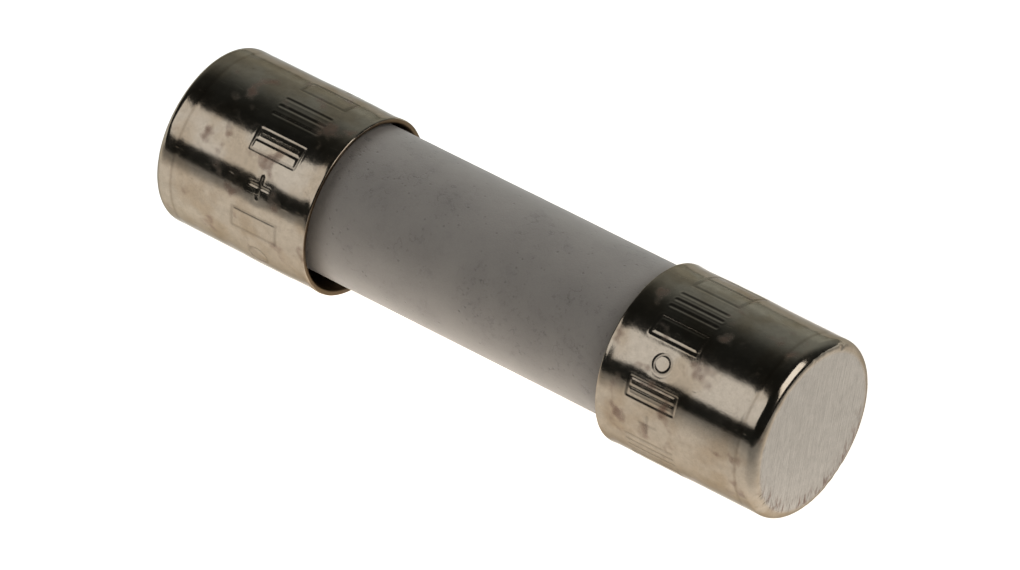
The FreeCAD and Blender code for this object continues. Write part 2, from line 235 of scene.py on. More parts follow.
class FUSE_PG_filling(bpy.types.PropertyGroup):
    """Sizes and colours of what the tube holds."""

    wire_radius: length("Wire Radius", "Radius of the fuse wire", 0.06)
    coil_radius: length("Coil Radius", "Core axis to the wire's centre in the winding", 0.315)
    coil_pitch: length("Coil Pitch", "Advance of one turn", 0.42)
    coil_turns: IntProperty(name="Coil Turns", description="Turns of the winding", default=40, min=1)
    tail_bend: length("Tail Bend", "Radius of the bend in a wire tail", 0.15)
    strands: IntProperty(name="Strands", description="Outer strands of the glass yarn", default=6, min=3)
    yarn_pitch: length("Yarn Pitch", "Length of one twist of the yarn", 1.3)
    grain: length("Grain", "Radius of a sand grain", 0.11)
    channel: length("Channel", "Radius of the winding's channel in the sand", 0.385)
    hand: IntProperty(name="Hand", description="1 for a right-handed winding, -1 for a left one", default=1)
    seed: IntProperty(name="Seed", description="Seed of the sand grains", default=7)
    tin: colour("Tinned Wire", "Tin on the fuse wire", (0.62, 0.60, 0.56))
    tin_dull: colour("Dull Tin", "Tin where it is dull", (0.52, 0.50, 0.46))
    glass: colour("Glass Yarn", "White glass yarn", (0.80, 0.80, 0.77))
    glass_shade: colour("Yarn Shade", "Darker clouds in the yarn", (0.66, 0.66, 0.62))
    quartz: colour("Quartz", "Pale quartz grains", (0.72, 0.66, 0.55))
    quartz_shade: colour("Quartz Shade", "Browner quartz grains", (0.60, 0.50, 0.36))
    solder: colour("Solder", "Tin solder", (0.52, 0.52, 0.50))
    solder_dull: colour("Dull Solder", "Solder where it is dull", (0.40, 0.40, 0.39))
    fibre: colour("Fibre", "Red-brown vulcanised fibre", (0.32, 0.12, 0.06))
    fibre_shade: colour("Fibre Shade", "Darker clouds in the fibre", (0.22, 0.08, 0.045))


class FUSE_PG_stage(bpy.types.PropertyGroup):
    """The floor, the light and the camera."""

    floor: colour("Floor", "Pale paper floor", (0.80, 0.79, 0.77))
    glow: colour("Floor Glow", "Light that comes up through the floor", (1.0, 0.935, 0.86))
    glow_behind: colour("Glow Behind", "Cooler light through the floor behind the fuse", (0.96, 1.0, 0.99))
    glow_strength: plain("Glow Strength", "Strength of the light through the floor", 0.86)
    glow_width: length("Glow Width", "Half width of the floor that glows fully", 19.0)
    glow_depth: length("Glow Depth", "Half depth of the floor that glows fully", 12.0)
    glow_back: length("Glow Back", "Middle of the glow behind the fuse's", 3.2)
    fall_side: plain("Fall Sideways", "How fast the glow fades past its left and right edges", 3.0)
    fall_front: plain("Fall in Front", "How fast the glow fades past its front edge", 2.6)
    sweep: plain("Sweep", "Share of the glow that reaches the floor far behind", 0.88)
    under: plain("Glow Under", "Extra share of the glow along the fuse's front foot", 0.65)
    key_level: plain("Key Level", "Brightness of the front softbox", 1.34)
    side_level: plain("Side Level", "Brightness of the side softbox", 2.2)
    fill_level: plain("Fill Level", "Brightness of the softbox behind, which the metal does not mirror", 1.3)
    air: colour("Studio Air", "Tint of the dim studio", (0.92, 1.0, 0.965))
    back_level: plain("Back Level", "Brightness of the wall behind", 0.70)
    azimuth: angle("Camera Azimuth", "Direction of the camera round the fuse", 38.5)
    elevation: angle("Camera Elevation", "Height of the camera over the floor", 39.0)
    distance: length("Camera Distance", "Camera to the fuse", 275.0)
    lens: FloatProperty(name="Lens", description="Focal length in millimetres", default=368.0, unit="CAMERA")
    aim_right: length("Aim Right", "Aim point to the right of the fuse's middle", 0.05)
    aim_down: length("Aim Down", "Aim point below the fuse's middle", 0.145)


# Node trees
class Link:
    """An output socket of a node tree. A sum written on it adds Math nodes to the tree."""

    def __init__(self, tree, socket):
        self.tree = tree
        self.socket = socket

    def out(self, name):
        """Another output of the same node."""
        return Link(self.tree, self.socket.node.outputs[name])

    def math(self, operation, *others):
        """A Math node on this value and any others."""
        return self.tree.math(operation, self, *others)

    def __add__(self, other):
        return self.math("ADD", other)

    __radd__ = __add__

    def __sub__(self, other):
        return self.math("SUBTRACT", other)

    def __rsub__(self, other):
        return self.tree.math("SUBTRACT", other, self)

    def __mul__(self, other):
        return self.math("MULTIPLY", other)

    __rmul__ = __mul__

    def __truediv__(self, other):
        return self.math("DIVIDE", other)

    def __mod__(self, other):
        return self.math("MODULO", other)

    def __pow__(self, other):
        return self.math("POWER", other)

    def __abs__(self):
        return self.math("ABSOLUTE")

    def fade(self, low, high):
        """0 where this value is under low, 1 over high, smooth between. High may be the smaller one."""
        values = {"Value": self, "From Min": min(low, high), "From Max": max(low, high)}
        if low > high:
            values.update({"To Min": 1.0, "To Max": 0.0})
        return self.tree.add("ShaderNodeMapRange", {"interpolation_type": "SMOOTHSTEP"}, values)

    def hump(self, centre, width):
        """1 where this value is at the centre, falling off like a bell over the width."""
        away = (self - centre) / width
        return (0 - away * away).math("EXPONENT")


class Tree:
    """A node tree in the making, of a material, a world or a Geometry Nodes modifier."""

    def __init__(self, tree):
        self.tree = tree

    def add(self, kind, settings=None, sockets=None, out=0):
        """A new node. Its settings come first, then its sockets get values or links. Gives one output."""
        node = self.tree.nodes.new(kind)
        node.location.x = NODE_SPACING * len(self.tree.nodes)
        for name, value in (settings or {}).items():
            if name == "stops":
                self.set_stops(node.color_ramp, value)
            else:
                setattr(node, name, value)
        for name, value in (sockets or {}).items():
            self.join(self.in_use(node.inputs, name), value)
        return Link(self, self.in_use(node.outputs, out)) if len(node.outputs) else None

    @staticmethod
    def in_use(sockets, name):
        """A socket by its name or number, among those that the node's settings leave in use."""
        used = [socket for socket in sockets if socket.enabled]
        return used[name] if isinstance(name, int) else next(socket for socket in used if socket.name == name)

    def join(self, socket, value):
        """Gives an input socket a constant or a link, or several links as a list."""
        if isinstance(value, list):
            for link in value:
                self.join(socket, link)
        elif isinstance(value, Link):
            self.tree.links.new(value.socket, socket)
        elif socket.type == "RGBA":
            socket.default_value = (*value[:3], 1.0)
        else:
            socket.default_value = value

    @staticmethod
    def set_stops(ramp, stops):
        """Gives a colour ramp its stops, as (place, grey level)."""
        while len(ramp.elements) < len(stops):
            ramp.elements.new(1.0)
        for element, (place, level) in zip(ramp.elements, stops):
            element.position = place
            element.color = (level, level, level, 1.0)

    def math(self, operation, *terms):
        """A Math node on these terms."""
        return self.add("ShaderNodeMath", {"operation": operation}, dict(enumerate(terms)))

    def vector(self, operation, *terms):
        """A Vector Math node on these terms."""
        return self.add("ShaderNodeVectorMath", {"operation": operation}, dict(enumerate(terms)))

    def split(self, vector):
        """The X of a vector. Its Y and Z are outputs of the same node."""
        return self.add("ShaderNodeSeparateXYZ", None, {0: vector})

    def round_axis(self, along, radius, turn, axis):
        """A place round an axis along X, by its radius and its angle from +Z towards -Y."""
        y, z = axis.y - radius * turn.math("SINE"), axis.z + radius * turn.math("COSINE")
        return self.add("ShaderNodeCombineXYZ", None, {"X": along, "Y": y, "Z": z})

    def noise(self, place, scale, detail=2.0, roughness=0.5):
        """Noise between 0 and 1."""
        sockets = {"Vector": place, "Scale": scale, "Detail": detail, "Roughness": roughness}
        return self.add("ShaderNodeTexNoise", {"noise_dimensions": "3D"}, sockets)

    def streaks(self, place, turn, stretch, detail, roughness=0.5):
        """Noise drawn out into lines, whose direction is turned round the X axis."""
        sockets = {"Vector": place, "Angle": turn}
        turned = self.add("ShaderNodeVectorRotate", {"rotation_type": "X_AXIS"}, sockets)
        return self.noise(self.vector("MULTIPLY", turned, stretch), 1.0, detail, roughness)

    def blend(self, factor, first, second):
        """A colour between two."""
        return self.add("ShaderNodeMix", {"data_type": "RGBA"}, {"Factor": factor, "A": first, "B": second})


def geometry_tree(name, inputs):
    """A Geometry Nodes tree with a geometry input and output and these inputs, and its input links."""
    group = bpy.data.node_groups.new(name, "GeometryNodeTree")
    group.interface.new_socket("Geometry", in_out="INPUT", socket_type="NodeSocketGeometry")
    group.interface.new_socket("Geometry", in_out="OUTPUT", socket_type="NodeSocketGeometry")
    for label, kind in inputs.items():
        group.interface.new_socket(label, in_out="INPUT", socket_type="NodeSocket" + kind)
    tree = Tree(group)
    return tree, tree.add("NodeGroupInput")


def close_tree(tree, geometry, source, smooth=True):
    """Ends a Geometry Nodes tree: real geometry, smooth faces if asked, and the piece's material."""
    final = tree.add("GeometryNodeRealizeInstances", None, {0: geometry})
    if smooth:
        final = tree.add("GeometryNodeSetShadeSmooth", None, {"Geometry": final})
    sockets = {"Geometry": final, "Material": source.out("Material")}
    tree.add("NodeGroupOutput", None, {0: tree.add("GeometryNodeSetMaterial", None, sockets)})


# Geometry helpers
def new_object(name, data):
    """A new object in the scene."""
    made = bpy.data.objects.new(name, data)
    bpy.context.scene.collection.objects.link(made)
    return made


def line_object(name, lines, attributes=None):
    """A mesh of open or closed lines, each a list of points. A line that ends where it starts is closed."""
    points, edges = [], []
    for line in lines:
        first = len(points)
        closed = len(line) > 2 and (Vector(line[0]) - Vector(line[-1])).length < MERGE
        kept = line[:-1] if closed else line
        points += kept
        edges += [(first + n, first + n + 1) for n in range(len(kept) - 1)]
        edges += [(first + len(kept) - 1, first)] if closed else []
    mesh = bpy.data.meshes.new(name)
    mesh.from_pydata([tuple(point) for point in points], edges, [])
    for label, (kind, values) in (attributes or {}).items():
        mesh.attributes.new(label, kind, "POINT").data.foreach_set("value", values)
    return new_object(name, mesh)


def grown(name, start, tree, values):
    """The plain mesh that a Geometry Nodes tree makes of a start object, which goes away, as a new object."""
    modifier = start.modifiers.new(tree.tree.name, "NODES")
    modifier.node_group = tree.tree
    for item in tree.tree.interface.items_tree:
        if item.in_out == "INPUT" and item.name in values:
            modifier[item.identifier] = values[item.name]
    bpy.context.view_layer.update()
    evaluated = start.evaluated_get(bpy.context.evaluated_depsgraph_get())
    mesh = bpy.data.meshes.new_from_object(evaluated)
    mesh.name = name
    start.modifiers.clear()
    bpy.data.objects.remove(start)
    return new_object(name, mesh)


def tidy_mesh(made, sharp_angle=None):
    """Merges doubles, turns every face outwards and marks the sharp edges."""
    work = bmesh.new()
    work.from_mesh(made.data)
    bmesh.ops.remove_doubles(work, verts=work.verts, dist=MERGE)
    bmesh.ops.dissolve_degenerate(work, edges=work.edges, dist=MERGE)
    bmesh.ops.recalc_face_normals(work, faces=work.faces)
    work.to_mesh(made.data)
    work.free()
    if sharp_angle is not None:
        made.data.set_sharp_from_angle(angle=math.radians(sharp_angle))
    if not made.data.polygons:
        raise RuntimeError(made.name + " came out empty")
    return made


def fit(made, node):
    """Puts a finished piece in the place of its CAD node."""
    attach(made, BODY)
    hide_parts(node)


def moved(made, place):
    """A piece with its mesh moved to its place, the object left at the origin."""
    made.data.transform(Matrix.Translation(place))
    return made


def arc(centre, radius, start, stop, steps):
    """Points of an arc in a section, as (along the axis, from the axis). Angles are in degrees from +X."""
    turns = [math.radians(start + (stop - start) * n / steps) for n in range(steps + 1)]
    return [(centre[0] + radius * math.cos(turn), centre[1] + radius * math.sin(turn)) for turn in turns]


def run(start, stop, spacing):
    """Points of a straight run in a section without its last point, no further apart than the spacing."""
    steps = max(1, math.ceil(math.dist(start, stop) / spacing))
    return [tuple(a + (b - a) * n / steps for a, b in zip(start, stop)) for n in range(steps)]


def section_object(name, section):
    """A section as separate points, the radius upwards. A closed section ends with its first point again."""
    return line_object(name, [[(x, 0.0, max(radius, 0.0))] for x, radius in section])


def turned_shape(tree, source, axis):
    """Turns a section round the X axis: a grid whose rows are the section's points, closed at the seam."""
    rows, columns = source.out("Rows"), source.out("Columns")
    grid = tree.add("GeometryNodeMeshGrid", None, {"Vertices X": columns + 1, "Vertices Y": rows}, "Mesh")
    index = tree.add("GeometryNodeInputIndex")
    settings = {"data_type": "FLOAT_VECTOR", "domain": "POINT"}
    sockets = {"Geometry": source, "Value": tree.add("GeometryNodeInputPosition"), "Index": index % rows}
    section = tree.split(tree.add("GeometryNodeSampleIndex", settings, sockets))
    turn = (index / rows).math("FLOOR") / columns * math.tau
    position = tree.round_axis(section + axis.x, section.out("Z"), turn, axis)
    shaped = tree.add("GeometryNodeSetPosition", None, {"Geometry": grid, "Position": position})
    return tree.add("GeometryNodeMergeByDistance", None, {"Geometry": shaped, "Distance": MERGE})


def round_wire_tree(name, twist=False):
    """The tree that makes round wire of lines, twisted round the X axis first if asked."""
    inputs = {"Radius": "Float", "Sides": "Int", "Pitch": "Float", "Material": "Material"}
    tree, source = geometry_tree(name, inputs)
    lines = source
    if twist:
        finer = tree.add("GeometryNodeSubdivideMesh", None, {"Mesh": source, "Level": 8})
        position = tree.add("GeometryNodeInputPosition")
        sockets = {"Vector": position, "Angle": tree.split(position) / source.out("Pitch") * math.tau}
        turned = tree.add("ShaderNodeVectorRotate", {"rotation_type": "X_AXIS"}, sockets)
        lines = tree.add("GeometryNodeSetPosition", None, {"Geometry": finer, "Position": turned})
    paths = tree.add("GeometryNodeMeshToCurve", None, {"Mesh": lines})
    sockets = {"Resolution": source.out("Sides"), "Radius": source.out("Radius")}
    outline = tree.add("GeometryNodeCurvePrimitiveCircle", {"mode": "RADIUS"}, sockets)
    sockets = {"Curve": paths, "Profile Curve": outline, "Fill Caps": True}
    close_tree(tree, tree.add("GeometryNodeCurveToMesh", None, sockets), source)
    return tree


# Marks
def mark_lines(kind):
    """The lines of one mark in a box one unit wide, centred, as (along the axis, round the cap)."""
    corners = [(-0.5, -0.5), (0.5, -0.5), (0.5, 0.5), (-0.5, 0.5), (-0.5, -0.5)]
    middle = [(-0.5, 0.0), (0.5, 0.0)]
    ring = [(0.5 * math.cos(turn), 0.5 * math.sin(turn)) for turn in (math.tau * n / 32 for n in range(33))]
    return {
        "bars": [[(-0.5, side), (0.5, side)] for side in (-0.5, 0.0, 0.5)],
        "cross": [middle, [(0.0, -0.5), (0.0, 0.5)]],
        "frame": [corners],
        "link": [corners, middle],
        "ring": [ring],
    }[kind]


def make_mark_kinds():
    """A collection with one small line drawing for each kind of mark, in alphabetical order."""
    kinds = bpy.data.collections.new("mark_kinds")
    for kind in MARK_KINDS:
        made = line_object("mark_" + kind, [[(x, y, 0.0) for x, y in line] for line in mark_lines(kind)])
        bpy.context.scene.collection.objects.unlink(made)
        kinds.objects.link(made)
    return kinds


def mark_row_tree():
    """The tree that sets a mark on every point of a flat row and wraps the row round a cap."""
    inputs = {"Kinds": "Collection", "Radius": "Float", "Material": "Material"}
    tree, source = geometry_tree("row_of_marks", inputs)
    sockets = {"Collection": source.out("Kinds"), "Separate Children": True}
    kinds = tree.add("GeometryNodeCollectionInfo", None, sockets)
    kind, height, width = (tree.add("GeometryNodeInputNamedAttribute", {"data_type": of}, {"Name": name})
                           for name, of in (("kind", "INT"), ("height", "FLOAT"), ("width", "FLOAT")))
    scale = tree.add("ShaderNodeCombineXYZ", None, {"X": height, "Y": width, "Z": 1.0})
    sockets = {"Points": source, "Instance": kinds, "Pick Instance": True, "Instance Index": kind}
    marks = tree.add("GeometryNodeInstanceOnPoints", None, {**sockets, "Scale": scale})
    real = tree.add("GeometryNodeRealizeInstances", None, {0: marks})
    finer = tree.add("GeometryNodeSubdivideMesh", None, {"Mesh": real, "Level": 4})
    flat = tree.split(tree.add("GeometryNodeInputPosition"))
    radius = source.out("Radius")
    position = tree.round_axis(flat, radius, flat.out("Y") / radius, Vector())
    wrapped = tree.add("GeometryNodeSetPosition", None, {"Geometry": finer, "Position": position})
    close_tree(tree, wrapped, source)
    return tree


def make_mark_row(name, marks, cap, side, kinds):
    """The lines of a row of marks on a cap. Marks are (kind, width, angle). Side is 1 at +X, -1 at -X."""
    centre = side * (CAP_HIGH.x - cap.mark_inset - cap.mark_height / 2)
    points = [[(centre, turn * CAP_RADIUS, 0.0)] for _, _, turn in marks]
    widths = [width - cap.stroke for _, width, _ in marks]
    tall = cap.mark_height - cap.stroke
    heights = [width if mark[0] in ROUND_KINDS else tall for width, mark in zip(widths, marks)]
    attributes = {
        "kind": ("INT", [MARK_KINDS.index(kind) for kind, _, _ in marks]),
        "width": ("FLOAT", widths),
        "height": ("FLOAT", heights),
    }
    start = line_object(name + "_places", points, attributes)
    return grown(name, start, mark_row_tree(), {"Kinds": kinds, "Radius": CAP_RADIUS})


# Caps
# The inputs of a cap's tree and the settings that they take.
CAP_INPUTS = {
    "Mark Line": "stroke", "Mark Depth": "depth", "Mark Lip": "lip", "Mark Sink": "press",
    "Sink Reach": "press_reach", "Unevenness": "unevenness", "Dents": "dent", "Dish": "dish",
    "Rim Flare": "flare",
}


def cap_section(cap, side):
    """The section of a cap: from the middle of its end face, round the rim, to the middle of its inside."""
    end, rim_end, wall_end = CAP_HIGH.x, CAP_LOW.x, CAP_HIGH.x - cap.end_wall
    outside, inside = CAP_RADIUS - cap.room, CAP_RADIUS - cap.wall
    marks_near = end - cap.mark_inset + cap.stroke
    marks_far = end - cap.mark_inset - cap.mark_height - cap.stroke
    outline = run((end, 0.0), (end, outside - cap.corner), FACE_ROWS)
    outline += arc((end - cap.corner, outside - cap.corner), cap.corner, 0, 90, CORNER_STEPS)
    outline += run((end - cap.corner - SIDE_ROWS, outside), (marks_near, outside), SIDE_ROWS)
    outline += run((marks_near, outside), (marks_far, outside), MARK_ROWS)
    outline += run((marks_far, outside), (rim_end + cap.rim, outside), SIDE_ROWS)
    outline += arc((rim_end + cap.rim, outside - cap.rim), cap.rim, 90, 180, RIM_STEPS)
    outline += arc((rim_end + cap.rim, inside + cap.rim), cap.rim, 180, 270, RIM_STEPS)
    inner_start, inner_end = rim_end + cap.rim + INSIDE_ROWS, wall_end - cap.inner_corner
    outline += run((inner_start, inside), (inner_end, inside), INSIDE_ROWS)
    outline += arc((inner_end, inside - cap.inner_corner), cap.inner_corner, 90, 0, INNER_STEPS)
    outline += [(wall_end, 0.0)]
    return [(side * x, radius) for x, radius in outline]


def cap_tree(cap, side):
    """The tree that turns a cap, presses the marks into it and gives it the small faults of drawn metal."""
    inputs = {"Marks": "Object", "Rows": "Int", "Columns": "Int", "Material": "Material"}
    tree, source = geometry_tree("end_cap", {**inputs, **dict.fromkeys(CAP_INPUTS, "Float")})
    size = {label: source.out(label) for label in CAP_INPUTS}
    cup = turned_shape(tree, source, Vector())
    position = tree.add("GeometryNodeInputPosition")
    along = tree.split(position) * side
    across = tree.vector("MULTIPLY", position, (0.0, 1.0, 1.0))
    radius = tree.vector("LENGTH", across)

    # The stamped lines, by the distance to the nearest one: a groove, a raised lip and a wide soft sink.
    lines = tree.add("GeometryNodeObjectInfo", None, {"Object": source.out("Marks")}, "Geometry")
    nearest = tree.add("GeometryNodeProximity", {"target_element": "EDGES"}, {0: lines}, "Distance")
    away = nearest / (size["Mark Line"] / 2)
    groove = away.fade(1.1, 0.25) * size["Mark Depth"]
    lip = away.hump(1.5, 0.4) * size["Mark Lip"]
    sink = (nearest / size["Sink Reach"]).hump(0.0, 1.0) * size["Mark Sink"]
    stamped = away.fade(1.5, 0.5)

    # What else moves the side out or in: waves, the rim's flare, the drawing ring and the stamping bulge.
    waves = tree.noise(position, 1 / cap.wave, 1.0) - 0.5
    ripples = tree.noise(position, 4.5 / cap.wave, 2.0) - 0.5
    uneven = (waves * 2 + ripples * 0.2) * size["Unevenness"]
    by_rim = along.fade(CAP_LOW.x + cap.flare_reach, CAP_LOW.x)
    flare = by_rim ** 2 * size["Rim Flare"]
    ring = along.hump(CAP_HIGH.x - cap.ring_place, cap.ring_width) * cap.ring_depth
    on_side = radius.fade(CAP_RADIUS - cap.corner, CAP_RADIUS - cap.wall)
    near_edge = CAP_HIGH.x - cap.mark_inset
    far_edge, soft = near_edge - cap.mark_height, 2 * cap.press_reach
    bulge = along.fade(near_edge + soft, near_edge - soft) * along.fade(far_edge - soft, far_edge + soft)
    swell = (uneven + flare + lip + bulge * cap.bulge - ring - groove - sink) * on_side

    # What moves the ends along the axis: the dished end face, knocks round it and a ragged rim.
    face_edge = CAP_RADIUS - cap.corner
    edge = radius.hump(face_edge, cap.corner / 2) * along.fade(CAP_HIGH.x - cap.corner, CAP_HIGH.x)
    knocks = tree.noise(position, 2.1 / MM, 2.0).fade(0.56, 0.70) * edge * size["Dents"]
    hollow = radius.fade(face_edge, 0.0) * along.fade(CAP_HIGH.x - cap.end_wall / 2, CAP_HIGH.x)
    ragged = (tree.noise(position, 1.1 / MM, 2.0) - 0.5) * by_rim
    inwards = hollow * size["Dish"] + knocks - ragged * cap.rim

    moved_out = tree.vector("SCALE", tree.vector("NORMALIZE", across), swell)
    moved_in = tree.add("ShaderNodeCombineXYZ", None, {"X": inwards * -side})
    offset = tree.vector("ADD", moved_out, moved_in)
    sockets = {"Geometry": cup, "Name": "stamped", "Value": stamped * on_side}
    noted = tree.add("GeometryNodeStoreNamedAttribute", {"data_type": "FLOAT", "domain": "POINT"}, sockets)
    pressed = tree.add("GeometryNodeSetPosition", None, {"Geometry": noted, "Offset": offset})
    close_tree(tree, pressed, source)
    return tree


def make_cap(name, side, marks, cap, kinds, material):
    """One end cap."""
    row = make_mark_row(name + "_marks", marks, cap, side, kinds)
    section = cap_section(cap, side)
    values = {label: getattr(cap, setting) for label, setting in CAP_INPUTS.items()}
    values.update({"Marks": row, "Rows": len(section), "Columns": cap.columns, "Material": material})
    made = grown(name, section_object(name + "_section", section), cap_tree(cap, side), values)
    bpy.data.objects.remove(row)
    return tidy_mesh(made)


def evenly(kinds, width, first, step):
    """Marks of one width, evenly spaced."""
    return [(kind, width, first + number * step) for number, kind in enumerate(kinds)]


# Materials
def new_material(name):
    """A material with an empty tree, the place on the piece in millimetres, and its parts."""
    material = bpy.data.materials.new(name)
    material.use_nodes = True
    material.node_tree.nodes.clear()
    tree = Tree(material.node_tree)
    place = tree.vector("SCALE", tree.add("ShaderNodeTexCoord", None, None, "Object"), 1 / MM)
    return material, tree, place, tree.split(place)


def finish_material(tree, height, sockets):
    """The shader, with a height in millimetres as its bump."""
    normal = tree.add("ShaderNodeBump", None, {"Height": height * MM, "Distance": 1.0, "Strength": 1.0})
    shader = tree.add("ShaderNodeBsdfPrincipled", None, {**sockets, "Normal": normal})
    tree.add("ShaderNodeOutputMaterial", None, {"Surface": shader})


def nickel_material(cap):
    """Bright nickel on drawn brass: mottled, a little yellow, scoured on the end face, brass inside, and a
    sheared rim of tarnished brass that is darkened further as painted shade.
    """
    material, tree, place, parts = new_material("nickel_plate")

    # Where on the cap, in millimetres: its end face, its inside with the sheared rim, whose dark brass is
    # partly painted shade, and the drawing ring.
    end, rim_end, side = CAP_HIGH.x / MM, CAP_LOW.x / MM, CAP_RADIUS / MM
    along = abs(parts)
    radius = (parts.out("Y") ** 2 + parts.out("Z") ** 2) ** 0.5
    face = along.fade(end - 0.07, end - 0.03) * radius.fade(side - 0.24, side - 0.40)
    wall_inside = radius.fade(side - 0.045, side - 0.075) * along.fade(end - 0.2, end - 0.3)
    # The sheared rim: tarnished brass, darkened further as painted shade
    inside = wall_inside.math("MAXIMUM", along.fade(rim_end + 0.012, rim_end + 0.004))
    ring = along.hump(end - cap.ring_place / MM, 0.05) * (1 - inside)
    stamped = tree.add("ShaderNodeAttribute", {"attribute_name": "stamped"}, None, "Fac")

    # Patterns, with a few to many waves to the millimetre. Tarnish gathers a little round the marks.
    cloud = tree.noise(place, 0.9, 3.0)
    mottle = tree.noise(place, 5.0, 4.0, 0.6)
    grain = tree.noise(place, 26.0, 3.0, 0.6)
    scour = tree.streaks(place, SCOUR_ANGLE, (1.0, 22.0, 1.1), 4.0, 0.65)
    rubs = tree.streaks(place, RUB_ANGLE, (2.0, 40.0, 0.8), 2.0).fade(0.68, 0.78)
    by_marks = along.hump(end - (cap.mark_inset + cap.mark_height / 2) / MM, 2.0)
    spots = (tree.noise(place, 1.5, 2.0) + by_marks * 0.05).fade(0.61, 0.82) * (1 - face)
    pits = tree.noise(place, 7.0, 1.0).fade(0.80, 0.86) * (1 - face)
    scuffs = tree.streaks(place, SCOUR_ANGLE, (1.0, 12.0, 2.5), 2.0).fade(0.50, 0.64)
    scuffs = scuffs * radius.hump(side - 0.40, 0.26) * parts.out("Z").fade(0.2, -1.4) * face

    # Each fault's share of the colour, the roughness and the height in millimetres.
    plate = tree.blend(cloud.fade(0.40, 0.66), cap.plate, cap.plate_warm)
    clean = tree.blend(face, plate, cap.face)
    worn = tree.blend(spots * 0.6 + pits * 0.6 + scuffs * 0.65, clean, cap.tarnish)
    metal = tree.blend(inside + ring * 0.35, worn, cap.brass)
    # The base colour is darker and the metal rougher along the stamped lines
    level = 1.0 + (mottle - 0.5) * 0.44 + (grain - 0.5) * 0.34 + (scour - 0.5) * face * 0.8 - stamped * 0.22
    rough = 0.12 + mottle.fade(0.45, 0.8) * 0.06 + rubs * 0.10 + spots * 0.10 + stamped * 0.08
    rough = rough + face * (0.26 + (scour - 0.5) * 0.2) + inside * 0.3
    height = (mottle - 0.5) * 0.0016 + (grain - 0.5) * 0.0008
    height = height + (scour - 0.5) * face * 0.014 - rubs * 0.0012 - scuffs * 0.01
    finish_material(tree, height, {
        "Base Color": tree.vector("SCALE", metal, level), "Metallic": 1 - spots * 0.5, "Roughness": rough,
        "Specular Tint": cap.edge_tint})
    return material


def ceramic_material(tube):
    """Unglazed ceramic: clouded, with dark specks, fine scratches and grey smudges, and painted shade that
    browns it by the caps.
    """
    material, tree, place, parts = new_material("bisque_ceramic")
    cloud = tree.noise(place, 0.55, 3.0)
    patch = tree.noise(place, 2.6, 3.0, 0.6)
    grain = tree.noise(place, 22.0, 3.0, 0.65)
    cells = tree.add("ShaderNodeTexVoronoi", {"feature": "F1"}, {"Vector": place, "Scale": 5.0}, "Distance")
    specks = cells.fade(0.24, 0.08) * tree.noise(place, 1.7, 2.0).fade(0.47, 0.62)
    hairs = abs(tree.noise(place, 1.9, 3.0, 0.6) - 0.5).fade(0.030, 0.006)
    hairs = hairs * tree.noise(place, 3.7, 2.0).fade(0.50, 0.60)
    blots = tree.noise(place, 2.8, 5.0, 0.75).fade(0.54, 0.70)
    scratches = (hairs * 0.6 + blots * 0.7) * tree.noise(place, 0.55, 2.0).fade(0.40, 0.60)
    smudges = tree.noise(place, 1.3, 5.0, 0.75).fade(0.48, 0.70)
    # Painted shade: the ceramic turns browner and darker over the last 0.7 mm before each cap rim
    by_cap = abs(parts).fade(CAP_LOW.x / MM - 0.7, CAP_LOW.x / MM + 0.1)

    clean = tree.blend(cloud.fade(0.35, 0.75), tube.body, tube.shade)
    rim_shaded = tree.blend(by_cap * 0.5, clean, tube.painted_rim_shade)
    marked = tree.blend(specks * 0.42 + scratches * 0.56 + smudges * 0.22, rim_shaded, tube.speck)
    level = 1.0 + (grain - 0.5) * 0.22 + (patch - 0.5) * 0.16
    height = (patch - 0.5) * 0.010 + (grain - 0.5) * 0.006 - specks * 0.010 - scratches * 0.006
    finish_material(tree, height, {
        "Base Color": tree.vector("SCALE", marked, level), "Roughness": 0.62 + (grain - 0.5) * 0.2,
        "Sheen Weight": tube.dust, "Sheen Roughness": 0.4})
    return material


def grained_material(name, base, second, scale, contrast, roughness, relief, metallic=0.0):
    """A material of two mixed colours with a fine grain. The scale is in grains to the millimetre."""
    material, tree, place, _ = new_material(name)
    grain = tree.noise(place, scale, 4.0, 0.6)
    cloud = tree.noise(place, scale / 6, 3.0)
    mixed = tree.blend(cloud.fade(0.35, 0.7), base, second)
    finish_material(tree, (grain - 0.5) * relief + (cloud - 0.5) * relief, {
        "Base Color": tree.vector("SCALE", mixed, 1.0 + (grain - 0.5) * contrast), "Metallic": metallic,
        "Roughness": roughness + (grain - 0.5) * 0.25})
    return material


# Operators
class FUSE_OT_end_caps(bpy.types.Operator):
    """Make both end caps, with their rows of stamped marks"""

    bl_idname = "fuse.end_caps"
    bl_label = "End Caps"

    def execute(self, context):
        cap = context.scene.fuse_caps
        kinds = make_mark_kinds()
        material = nickel_material(cap)
        row_a = evenly(MARKS_A, cap.width_a, cap.first_a, cap.step_a)
        row_b = evenly(MARKS_B, cap.width_b, cap.first_b, cap.step_b)
        row_b.append(("link", cap.width_wide, cap.first_b + WIDE_MARK_NUMBER * cap.step_b))
        for name, side, row in (("end_cap_a", -1, row_a), ("end_cap_b", 1, row_b)):
            made = make_cap("plated_" + name, side, row, cap, kinds, material)
            fit(made, name)
        for drawing in list(kinds.objects):
            bpy.data.objects.remove(drawing)
        bpy.data.collections.remove(kinds)
        return {"FINISHED"}


